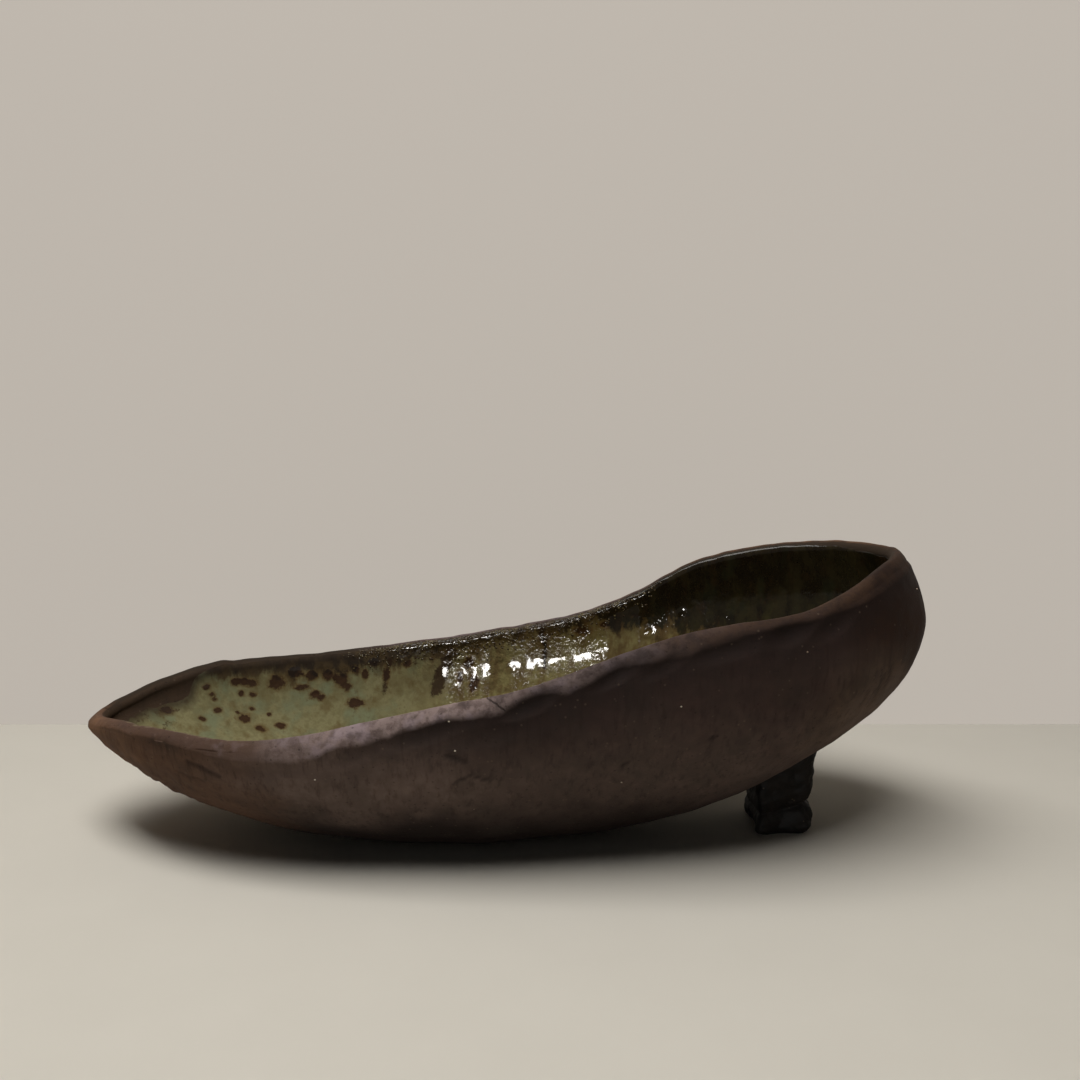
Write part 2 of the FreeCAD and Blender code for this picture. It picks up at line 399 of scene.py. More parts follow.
def start_group(name, tree_kind, takes, gives):
    """New node group with named sockets, listed by kind; gives its tree and what comes into it."""
    tree = bpy.data.node_groups.new(name, tree_kind)
    for direction, kinds in (("INPUT", takes), ("OUTPUT", gives)):
        for kind, names in kinds.items():
            for socket in names:
                tree.interface.new_socket(socket, in_out=direction, socket_type="NodeSocket" + kind)
    return tree, node(tree, "NodeGroupInput")


def kept_number(tree, name):
    """A number kept at every point of a piece, for a geometry tree."""
    return node(tree, "GeometryNodeInputNamedAttribute", {"Name": name}, data_type="FLOAT")


def hand_over(tree, shape, finish, name):
    """Makes a shape real, gives it its material and passes it out of its tree under a name."""
    solid = node(tree, "GeometryNodeRealizeInstances", {"Geometry": shape})
    finished = node(tree, "GeometryNodeSetMaterial", {"Geometry": solid, "Material": finish})
    node(tree, "NodeGroupOutput", {name: finished})


def hand_worked_tree():
    """Relief left by hands: broad lumps from beating and a finer drag, where 'worked' says so."""
    sizes = ["Lump height", "Lump size", "Drag height", "Drag size"]
    takes = {"Geometry": ["Piece"], "Float": sizes, "Material": ["Finish"]}
    gives = {"Geometry": ["Piece"]}
    tree, given = start_group("hand-worked relief", "GeometryNodeTree", takes, gives)
    where = node(tree, "GeometryNodeInputPosition")
    heights = []
    for kind, detail in (("Lump", 2.0), ("Drag", 5.0)):
        links = {"Vector": where, "Scale": 1.0 / given[kind + " size"], "Detail": detail}
        heights.append((node(tree, "ShaderNodeTexNoise", links) - 0.5) * given[kind + " height"])
    lift = (heights[0] + heights[1]) * kept_number(tree, "worked")
    shift = vector_maths("SCALE", node(tree, "GeometryNodeInputNormal"), lift)
    moved = node(tree, "GeometryNodeSetPosition", {"Geometry": given["Piece"], "Offset": shift})
    hand_over(tree, moved, given["Finish"], "Piece")
    return tree


def worked_by(piece, tree, **wanted):
    """Puts a geometry tree to work on a piece and keeps what comes out as its plain mesh."""
    modifier = piece.modifiers.new("work", "NODES")
    modifier.node_group = tree
    for item in tree.interface.items_tree:
        name = item.name.replace(" ", "_")
        if item.in_out == "INPUT" and name in wanted:
            modifier[item.identifier] = wanted[name]
    graph = bpy.context.evaluated_depsgraph_get()
    evaluated = piece.evaluated_get(graph)
    done = bpy.data.meshes.new_from_object(
        evaluated, preserve_all_data_layers=True, depsgraph=graph,
    )
    piece.modifiers.remove(modifier)
    piece.data = done
    done.shade_smooth()


def tone(red, green, blue):
    """A colour as a screen shows it, 0 to 255, turned into the values that light works with."""
    shares = [
        ((c / 255 + 0.055) / 1.055) ** 2.4 if c > 10 else c / 3294.6 for c in (red, green, blue)
    ]
    return [*shares, 1.0]


def blend(share, first, second):
    """Mixes two colours by a share."""
    tree = tree_of(share, first, second)
    return node(tree, "ShaderNodeMix", {0: share, 6: first, 7: second}, data_type="RGBA")[2]


def painted(colour, coats):
    """Lays coats over a colour, each with how much of it shows and its own colour."""
    for share, coat in coats:
        colour = blend(share, colour, tone(*coat))
    return colour


def between(value, low, high):
    """Share of the way that a value has gone from low to high, eased at both ends."""
    links = {0: value, 1: low, 2: high}
    return node(value.tree, "ShaderNodeMapRange", links, interpolation_type="SMOOTHSTEP")


def named(tree, name):
    """A number kept at every point of a piece, for a material."""
    return node(tree, "ShaderNodeAttribute", attribute_name=name)["Fac"]


def fine_crack_group():
    """A fine crack that wanders along four corners: 1 on its line, 0 beyond its width."""
    names = ["Corner 1", "Corner 2", "Corner 3", "Corner 4"]
    takes = {"Vector": ["Place", *names], "Float": ["Width"]}
    gives = {"Float": ["Crack"]}
    tree, given = start_group("fine crack", "ShaderNodeTree", takes, gives)
    place = given["Place"]
    links = {"Vector": place, "Scale": 420.0, "Detail": 3.0}
    sway = node(tree, "ShaderNodeTexNoise", links)["Color"]
    sway = vector_maths("SCALE", vector_maths("SUBTRACT", sway, (0.5, 0.5, 0.5)), 0.0022)
    swayed = vector_maths("ADD", place, sway)
    nearest = 1.0
    for first, last in zip(names[:-1], names[1:]):
        stretch = vector_maths("SUBTRACT", given[last], given[first])
        from_first = vector_maths("SUBTRACT", swayed, given[first])
        passed = vector_maths("DOT_PRODUCT", from_first, stretch)
        share = maths("DIVIDE", passed, vector_maths("DOT_PRODUCT", stretch, stretch))
        met = vector_maths("SCALE", stretch, node(tree, "ShaderNodeClamp", {0: share}))
        nearest = maths("MINIMUM", nearest, vector_maths("DISTANCE", from_first, met))
    crack = between(nearest, given["Width"], given["Width"] * 0.3)
    node(tree, "NodeGroupOutput", {"Crack": crack})
    return tree


def fired_clay_group():
    """What every bare clay surface shares: clouds of colour, dark and pale grains, a fine tooth."""
    takes = {"Vector": ["Place"], "Float": ["Grain size"]}
    gives = {"Float": ["Clouds", "Mottle", "Dark grains", "Pale grains", "Tooth"]}
    tree, given = start_group("fired clay", "ShaderNodeTree", takes, gives)
    place = given["Place"]
    fine = vector_maths("SCALE", place, 1.0 / given["Grain size"])
    cells = node(tree, "ShaderNodeTexVoronoi", {"Vector": fine, "Scale": 0.45, "Randomness": 1.0})
    lot = node(tree, "ShaderNodeSeparateColor", {0: cells["Color"]})
    kernel = between(cells["Distance"], 0.34, 0.12)
    grit = {"Vector": fine, "Scale": 0.9, "Detail": 4.0, "Roughness": 0.65}
    drag = noise_at(place, 0.0016, 3.0, 0.6, (6, 6, 1))
    node(tree, "NodeGroupOutput", {
        "Clouds": noise_at(place, 0.034, 2.0),
        "Mottle": noise_at(place, 0.0065, 4.0, 0.6),
        "Dark grains": kernel * maths("GREATER_THAN", lot[0], 0.86),
        "Pale grains": kernel * maths("GREATER_THAN", lot[1], 0.93),
        "Tooth": node(tree, "ShaderNodeTexNoise", grit) * 0.6 + drag * 0.4,
    })
    return tree


def start_finish(name):
    """A new material with an empty board, and the piece's own coordinates to paint by."""
    finish = bpy.data.materials.new(name)
    finish.use_nodes = True
    finish.node_tree.nodes.clear()
    return finish, node(finish.node_tree, "ShaderNodeTexCoord")["Object"]


def surface(looks, relief, strength, depth):
    """The shader of a material, with its looks and a relief of some depth in metres, wired up."""
    tree = relief.tree
    links = {"Strength": strength, "Distance": depth, "Height": relief}
    bump = node(tree, "ShaderNodeBump", links)
    shader = node(tree, "ShaderNodeBsdfPrincipled", {**looks, "Normal": bump})
    node(tree, "ShaderNodeOutputMaterial", {"Surface": shader})


fired_clay = fired_clay_group()
fine_crack = fine_crack_group()


def near_crack(place, corners_mm, width):
    """The shared crack at a place on a piece, through corners in millimetres."""
    links = {"Place": place, "Width": width}
    for number, corner in enumerate(corners_mm, 1):
        links[f"Corner {number}"] = Vector(corner) / 1000
    return node(place.tree, "ShaderNodeGroup", links, node_tree=fine_crack)


def clay_at(place, grain_size):
    """The shared clay surface at a place on a piece, with grains of a size in metres."""
    links = {"Place": place, "Grain size": grain_size}
    return node(place.tree, "ShaderNodeGroup", links, node_tree=fired_clay)


def bare_stoneware():
    """Dark purple-brown matte stoneware, with painted shade and bounce light by height, rusty ends,
    a pale lip.
    """
    finish, place = start_finish("bare stoneware")
    tree = place.tree
    clay = clay_at(place, 0.0009)
    mottle = clay["Mottle"]
    spot = node(tree, "ShaderNodeSeparateXYZ", {0: place})
    cloudy = clay["Clouds"] - 0.5
    height = spot[2] + cloudy * 0.03
    along = spot[0] + cloudy * 0.09
    # Painted light and shade by height: shade near the table, bounce light at mid height, darker
    # above
    colour = blend(between(height, 0.014, 0.044), tone(42, 33, 29), tone(130, 111, 101))
    colour = blend(between(height, 0.045, 0.085), colour, tone(102, 80, 74))
    # Painted shade: the wall darker from the middle on to the raised end, where it tucks in out of
    # the light
    darkened = blend(0.48, colour, tone(34, 22, 17))
    # A paler patch low on the front of the raised end
    from_pale_patch = vector_maths("DISTANCE", place, (0.170, -0.042, 0.062)) + cloudy * 0.03
    patchy = between(noise_at(place, 0.02, 4.0, 0.6), 0.42, 0.72)
    streaks = between(noise_at(place, 0.0026, 3.0, 0.6, (1, 1, 9)), 0.48, 0.72)
    colour = painted(blend(between(along, -0.030, 0.035), colour, darkened), [
        (between(along, -0.06, -0.13), (115, 88, 70)),
        (between(along, -0.135, -0.185), (162, 120, 88)),
        (between(along, 0.125, 0.19), (58, 38, 26)),
        (between(from_pale_patch, 0.046, 0.010) * 0.8, (118, 99, 85)),
        (patchy * 0.3, (66, 60, 52)),
        (streaks * 0.35, (40, 29, 25)),
        # painted shade under the lip
        (named(tree, "painted shade under lip"), (31, 19, 15)),
    ])
    darker = blend(0.72, tone(36, 26, 24), colour)
    colour = blend(between(mottle, 0.35, 0.75), darker, colour)
    speckle = between(noise_at(place, 0.0034, 4.0, 0.65), 0.46, 0.64)
    # Pale lip: partly rubbed clay, partly painted highlight where its top catches the light, mauve
    # in patches
    mauve_and_highlight = between(noise_at(place, 0.010, 3.0), 0.48, 0.62) * 0.8
    mauve_and_highlight = mauve_and_highlight * between(along, -0.135, -0.07) * between(along, 0.12, 0.05)
    pale = blend(between(along, 0.05, 0.12), tone(150, 132, 128), tone(122, 92, 69))
    pale = painted(pale, [
        (between(along, -0.070, -0.105), (76, 57, 49)),
        (speckle * 0.5, (84, 66, 62)),
        (mauve_and_highlight, (160, 143, 147)),
    ])
    colour = blend(named(tree, "lip") * (1.0 - between(mottle, 0.54, 0.32) * 0.6), colour, pale)
    lapping = named(tree, "stained") * noise_at(place, 0.0032, 4.0, 0.6)
    seen_flat = vector_maths("MULTIPLY", place, (1, 0, 1))
    crack = near_crack(seen_flat, LIP_CRACK, 0.0006) * between(spot[1], -0.060, -0.066)
    colour = painted(colour, [
        (between(lapping, 0.36, 0.56) * 0.75, (122, 110, 86)),
        (named(tree, "inside") * 0.85, (52, 42, 32)),
        # painted shade in the scores and thumb marks
        (named(tree, "hollowed") * 0.6, (32, 23, 20)),
        (clay["Dark grains"] * 0.35, (34, 25, 22)),
        (clay["Pale grains"] * 0.16, (150, 130, 110)),
        (crack * 0.7, (30, 21, 18)),
    ])
    relief = clay["Tooth"] - between(clay["Dark grains"], 0.0, 1.0) * 0.5 - crack
    rough = mottle * 0.24 + 0.62
    looks = {"Base Color": colour, "Roughness": rough, "Specular IOR Level": 0.14}
    surface(looks, relief, 0.7, 0.0004)
    return finish


hand_worked = hand_worked_tree()
stoneware = bare_stoneware()
basin = loft("clay_wall", np.concatenate([outer, inner]))
top_row = len(outer)


def mark_wall(name, values, first_row=0):
    """Keeps a number on some rows of the wall, from a first one on, and 0 on all others."""
    everywhere = np.zeros((top_row + len(inner), STATIONS))
    everywhere[first_row: first_row + len(values)] = values
    mark(basin, name, everywhere)


# Worked all over but for the flat patch; the pale band, partly rubbed clay and partly painted
# highlight, fades out below its edge and over the lip
mark_wall("worked", ramp(outer[..., 2], 0, 6) * np.clip(below / 3, 0.35, 1))
rubbed_and_lit = along_lip(LIP_RUBBED_AND_LIT)
feather = 2.4 + 3.6 * ramp(lip_x, -20, 30)
on_band = rubbed_and_lit * np.clip((band + 0.6 - below) / feather, 0, 1) ** 0.8
on_band = np.concatenate([on_band, rubbed_and_lit * (1 - np.arange(4)[:, None] / 4)])
inner_edge = ramp(lip_y, 0, -8) * ramp(lip_x, -118, -128)
on_band[-5:-1] = np.maximum(on_band[-5:-1], 0.5 * inner_edge)
mark_wall("lip", on_band)
# Painted shade in the scores and thumb marks, darker where they are deeper
mark_wall("hollowed", np.clip(score_shade + thumbed / 2.0, 0, 1))

# Painted shade on the wall under the lip, less so at the tip and behind
side = ramp(outer[..., 1], -12, 12)
past_left = 0.2 + 0.68 * ramp(outer[..., 0], -65, -15)
shaded = hump(np.maximum(below, 3), 3, 19) * ((1 - side) * past_left + side * 0.5)
mark_wall("painted shade under lip", np.concatenate([shaded, shaded[-1:].repeat(3, axis=0)]))

# Glaze that lapped over the lip in front, and smoke on the bare strip inside at the tip
lapped = in_front * ramp(lip_x, -165, -150) * ramp(lip_x, 50, 10)
mark_wall("stained", lapped * np.linspace(0.2, 1.3, 8).clip(0, 1)[:, None], top_row - 5)
darkened = 1.15 * ramp(lip_x, -40, -70) * ramp(lip_y, 2, 12)
bare_inside = np.ones((len(inner) - 2, STATIONS))
mark_wall("inside", np.concatenate([np.tile(darkened, (8, 1)), bare_inside]), top_row - 6)
worked_by(
    basin, hand_worked, Finish=stoneware,
    Lump_height=0.0024, Lump_size=0.038, Drag_height=0.0009, Drag_size=0.010,
)
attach(basin, "root")
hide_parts("clay_body")


# Grog
# Pale grains of crushed fired clay that were mixed into the body. A few stand out of the outer
# wall as specks, and most are too small to notice.
GRAIN_SIZE = 0.00038
GRAINS_PER_AREA = 110.0
GROG_PLACES = np.array([
    (-6.8, -77.9, 73.4), (-4.6, -76.6, 60.9), (137.9, -65.3, 98.5), (195.6, -22.1, 116.6),
    (63.2, -65.0, 43.6), (-62.0, -68.3, 47.5), (-150.4, -25.8, 40.2), (86.0, -73.6, 78.5),
])


def strewn_by_size(tree, points, shape, sizes, turn):
    """Sets a shape at points, each copy at a random share of its size."""
    low, high, seed = sizes
    links = {2: low, 3: high, "Seed": seed}
    scale = node(tree, "FunctionNodeRandomValue", links, data_type="FLOAT")[1]
    links = {"Points": points, "Instance": shape, "Scale": scale, "Rotation": turn}
    return node(tree, "GeometryNodeInstanceOnPoints", links)


def grog_tree():
    """Scatters half-buried grains over the outside of a wall, and some at the piece's points."""
    takes = {
        "Geometry": ["Chosen places"], "Object": ["Wall"],
        "Float": ["Grains per area", "Grain size"], "Material": ["Finish"],
    }
    gives = {"Geometry": ["Grains"]}
    tree, given = start_group("grog in the wall", "GeometryNodeTree", takes, gives)
    skin = node(tree, "GeometryNodeObjectInfo", {"Object": given["Wall"]})["Geometry"]
    crowd = kept_number(tree, "worked") * given["Grains per area"]
    links = {"Mesh": skin, "Density": crowd, "Seed": 11}
    places = node(tree, "GeometryNodeDistributePointsOnFaces", links)
    links = {"Radius": given["Grain size"], "Subdivisions": 1}
    grain = node(tree, "GeometryNodeMeshIcoSphere", links)
    links = {1: (6.2, 6.2, 6.2), "Seed": 8}
    turns = node(tree, "FunctionNodeRandomValue", links, data_type="FLOAT_VECTOR")
    small = strewn_by_size(tree, places, grain, (0.25, 0.7, 5), turns)
    links = {"Points": given["Chosen places"], "Instance": grain, "Scale": (1.3, 1.0, 1.1)}
    chosen = node(tree, "GeometryNodeInstanceOnPoints", links)
    both = node(tree, "GeometryNodeJoinGeometry", {0: small})
    tree.links.new(chosen.socket, both.socket.node.inputs[0])
    hand_over(tree, both, given["Finish"], "Grains")
    return tree


def grog_grit():
    """Chalky grains, some whiter than others."""
    finish, place = start_finish("grog")
    clay = clay_at(place, 0.0003)
    whiter = between(noise_at(place, 0.004, 1.0), 0.35, 0.55)
    colour = blend(whiter, tone(150, 128, 108), tone(222, 210, 190))
    colour = blend(clay["Mottle"] * 0.3, colour, tone(120, 96, 82))
    surface({"Base Color": colour, "Roughness": 0.85}, clay["Tooth"], 0.5, 0.0002)
    return finish


wall_shape = BVHTree.FromObject(basin, bpy.context.evaluated_depsgraph_get())
grog_mesh = bpy.data.meshes.new("grog")
on_wall = [wall_shape.find_nearest(Vector(place) * 0.001)[0] for place in GROG_PLACES]
grog_mesh.from_pydata(on_wall, [], [])
grog = in_scene("grog", grog_mesh)
worked_by(
    grog, grog_tree(), Wall=basin, Finish=grog_grit(),
    Grains_per_area=GRAINS_PER_AREA, Grain_size=GRAIN_SIZE,
)
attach(grog, "root")


# Glaze lining
# A thick ash glaze poured inside and swilled round: milky green and silky over the low end, olive
# and glossy in the middle with duller patches, near black with green runs up the raised end. Iron
# bled through in brown spots. Its ragged edge is low at the tip and in front, on the lip behind.
GLAZE_COAT = 0.8
STAND_OFF = 0.15
SUNK_BACK = 0.3
GLAZE_ROWS = 104
UNSEEN_ROWS = 18

# Depth of the glaze's edge below the crest: along, in front, behind
GLAZE_EDGE = np.array([
    (-176, 6.5, 7.5), (-168, 5.0, 9.5), (-160, 3.6, 11.5), (-152, 3.2, 12.0), (-148.5, 3.0, 10.0),
    (-145, 3.0, 4.0), (-138, 3.0, 1.7), (-120, 3.0, 1.3), (-90, 3.0, 1.1), (-66, 3.0, 0.9),
    (-48, 3.0, 0.7), (0, 3.2, 0.6), (52, 3.4, 0.7), (72, 3.4, 0.9), (120, 3.6, 1.0),
    (160, 3.8, 1.4), (178, 4.0, 2.8), (192, 4.2, 4.0),
])

# How far below the crest the glaze fired dark along the far wall
DARK_DEPTH = np.array([
    (-176, 10), (-150, 8.5), (-140, 6), (-122, 8), (-105, 9.5), (-90, 11.5), (-75, 14), (-60, 14),
    (-40, 10), (-10, 8), (20, 6.5), (38, 6), (56, 9), (75, 18), (96, 34), (115, 50), (140, 68),
    (192, 90),
])

# Where the far wall fired dull, between its glints: along, and how dull
DULL_PATCHES = np.array([
    (-24, 1.0), (-17, 0.0), (-5, 0.0), (-3, 0.7), (-1, 0.3), (2, 0.2), (4.5, 1.0), (13, 1.0),
    (16.5, 0.0), (61, 0.0), (66, 1.0), (80, 1.0), (83, 0.0), (192, 0.0),
])

# Iron spots that show on the far wall: place, half width and half height
IRON_SPOTS = np.array([
    (-138.2, 40.4, 55.1, 2.3, 1.9), (-136.5, 40.3, 51.0, 3.2, 1.4), (-134.8, 39.6, 48.8, 2.4, 1.3),
    (-132.1, 36.8, 43.7, 2.7, 1.8), (-138.2, 29.8, 41.2, 3.0, 1.4), (-125.4, 48.0, 55.8, 3.4, 2.4),
    (-121.4, 49.5, 55.4, 3.0, 2.4), (-117.8, 50.7, 54.4, 2.8, 2.2), (-122.3, 46.2, 50.1, 2.2, 1.8),
    (-116.7, 48.2, 49.0, 2.3, 1.6), (-105.7, 54.3, 53.9, 4.6, 4.2), (-119.5, 39.4, 38.6, 3.8, 2.6),
    (-111.3, 38.2, 33.7, 3.4, 2.0), (-101.8, 43.2, 34.0, 3.4, 1.9), (-108.3, 45.4, 39.3, 1.3, 1.2),
    (-97.3, 58.7, 58.3, 4.0, 3.4), (-92.9, 56.8, 50.6, 3.9, 2.1), (-88.2, 59.7, 56.2, 3.6, 3.0),
    (-86.6, 56.6, 46.4, 3.4, 2.6), (-84.2, 56.6, 45.0, 3.0, 2.2), (-80.6, 61.1, 55.9, 3.4, 3.4),
    (-76.2, 61.3, 54.6, 2.8, 2.6), (-73.6, 61.6, 53.6, 4.2, 4.6), (-70.6, 60.6, 50.0, 2.6, 3.0),
    (-66.5, 63.8, 58.0, 2.8, 2.4), (-61.9, 63.7, 55.7, 1.9, 3.2), (-66.6, 57.9, 41.9, 4.0, 2.8),
    (-63.4, 58.0, 41.8, 2.8, 2.0), (-116.8, 44.4, 42.5, 1.8, 1.3), (-123.1, 40.5, 41.8, 1.3, 1.0),
    (-153.9, 24.1, 47.0, 4.2, 3.0), (-146.6, 32.5, 49.6, 1.6, 1.2), (-12.6, 66.6, 53.3, 2.1, 4.4),
    (-5.1, 65.9, 51.8, 2.7, 3.4), (-5.6, 65.4, 48.6, 2.9, 3.0), (-8.1, 68.2, 60.8, 2.9, 3.4),
    (51.5, 69.0, 78.0, 5.0, 2.8), (63.5, 68.5, 81.3, 3.4, 2.4), (79.6, 67.5, 86.2, 4.0, 2.0),
    (-51.0, 64.8, 55.4, 2.0, 5.0), (-57.0, 66.0, 62.0, 4.5, 2.5), (-40.0, 66.8, 60.5, 3.0, 2.2),
])

# Dark runs down the far wall: the line each follows, and its half width
IRON_RUNS = (
    ((-16.5, 68.8, 66.0), (-20.0, 67.9, 60.0), (-22.5, 66.6, 54.4), (-24.9, 63.9, 47.1), 3.2),
    ((29.5, 72.6, 81.0), (31.0, 69.8, 73.5), (32.3, 68.8, 67.3), (31.6, 67.0, 59.0), 1.8),
    ((-49.0, 66.5, 62.0), (-50.5, 65.4, 57.5), (-51.5, 63.8, 52.0), (-52.0, 61.5, 46.0), 1.3),
)

# Blisters that burst and healed as rings in the glass: place and radius
BLISTERS = np.array([
    (85.7, 65.8, 77.6, 2.6), (-12.5, 68.7, 64.6, 2.2), (-19.0, 68.4, 62.5, 2.4),
    (-8.0, 68.4, 61.6, 2.2), (-13.0, 66.4, 52.6, 2.2), (-79.0, 61.2, 56.0, 2.0),
    (-86.6, 56.6, 46.6, 2.2), (118.0, 62.0, 76.0, 1.4), (122.0, 61.0, 71.0, 1.6),
    (103.0, 66.0, 88.0, 1.5), (8.5, 68.6, 63.0, 1.8), (31.0, 69.5, 72.0, 1.6),
])

# The crack in the far wall, beside the second run
WALL_CRACK = ((29.3, 73.0, 81.5), (31.2, 69.6, 73.0), (32.2, 68.8, 67.3), (31.8, 67.0, 59.0))

whole = np.concatenate([inner_lip, wall(climb[::-1], WALL, FLOOR)])
steps = np.linalg.norm(np.diff(whole, axis=0), axis=2)
paths = np.concatenate([np.zeros((1, STATIONS)), np.cumsum(steps, axis=0)])
edge_depth = along_lip(GLAZE_EDGE)
ragged = 0.9 * wander(crest, 7, 11) + 0.5 * wander(crest, 2.6, 12)
edge_depth = np.maximum(edge_depth + ragged * np.clip(edge_depth / 4, 0.2, 2), 0.35)
eased = (np.arange(GLAZE_ROWS + 1) / GLAZE_ROWS) ** 1.6
glass = np.zeros((GLAZE_ROWS + 1, STATIONS, 3))
from_edge = np.zeros((GLAZE_ROWS + 1, STATIONS))
for n in range(STATIONS):
    path = paths[:, n]
    start = np.interp(edge_depth[n], lip_z[n] - whole[:, n, 2], path)
    from_edge[:, n] = (path[-1] - start) * eased
    for axis in range(3):
        glass[:, n, axis] = np.interp(start + from_edge[:, n], path, whole[:, n, axis])


def facing(rings):
    """Unit normals of rings of points, on the side that rings going down an inner wall face."""
    across = np.roll(rings, -1, axis=1) - np.roll(rings, 1, axis=1)
    normals = np.cross(across, np.gradient(rings, axis=0))
    return normals / np.maximum(np.linalg.norm(normals, axis=2), 1e-9)[..., None]


def spots_on(rings, spots):
    """1 in the middle of the nearest spot, 0 at its edge and negative beyond it."""
    nearest = np.full(rings.shape[:2], -2.0)
    for x, y, z, wide, high in spots:
        slope = np.hypot(rings[..., 1] - y, rings[..., 2] - z)
        nearest = np.maximum(nearest, 1 - np.hypot((rings[..., 0] - x) / wide, slope / high))
    return nearest


def runs_on(rings, line):
    """1 along a run down the wall, 0 at its edge and negative beyond it."""
    nearest = np.full(rings.shape[:2], 1e9)
    for first, last in zip(line[:-2], line[1:-1]):
        first, last = np.array(first), np.array(last)
        stretch = last - first
        along = np.clip((rings - first) @ stretch / (stretch @ stretch), 0, 1)
        apart = np.linalg.norm(rings - first - along[..., None] * stretch, axis=2)
        nearest = np.minimum(nearest, apart)
    return np.maximum(1 - nearest / line[-1], -2)


away = facing(glass)
across, far, tall = np.moveaxis(glass, -1, 0)
behind = far > 0
iron = spots_on(glass, IRON_SPOTS)
runs_down = np.maximum.reduce([runs_on(glass, line) for line in IRON_RUNS])

# The coat is thickest where it rolled over the lip behind, and thinnest along the crack and in the
# spots. Each blister left a ring with a dip inside it.
mid_lip = ramp(across, -75, -55) * ramp(across, 95, 65)
thick = STAND_OFF + GLAZE_COAT * (1 - np.exp(-from_edge / (0.8 + 2.4 * (1 - mid_lip))))
thick += 0.25 * mid_lip * hump(from_edge, 1.6, 1.1)
thick -= 0.45 * ramp(np.abs(runs_on(glass, IRON_RUNS[1]) - 1), 0.6, 0)
thick -= 0.12 * np.clip(iron * 3, 0, 1)
for *middle, radius in BLISTERS:
    round_it = np.linalg.norm(glass - np.array(middle), axis=2) / radius
    thick += 0.45 * hump(round_it, 1, 0.22) - 0.2 * hump(round_it, 0, 0.6)
glass_face = glass + away * thick[..., None]
seat = np.linspace(0, GLAZE_ROWS, UNSEEN_ROWS).astype(int)
glass_back = (glass - away * SUNK_BACK)[seat[::-1]]


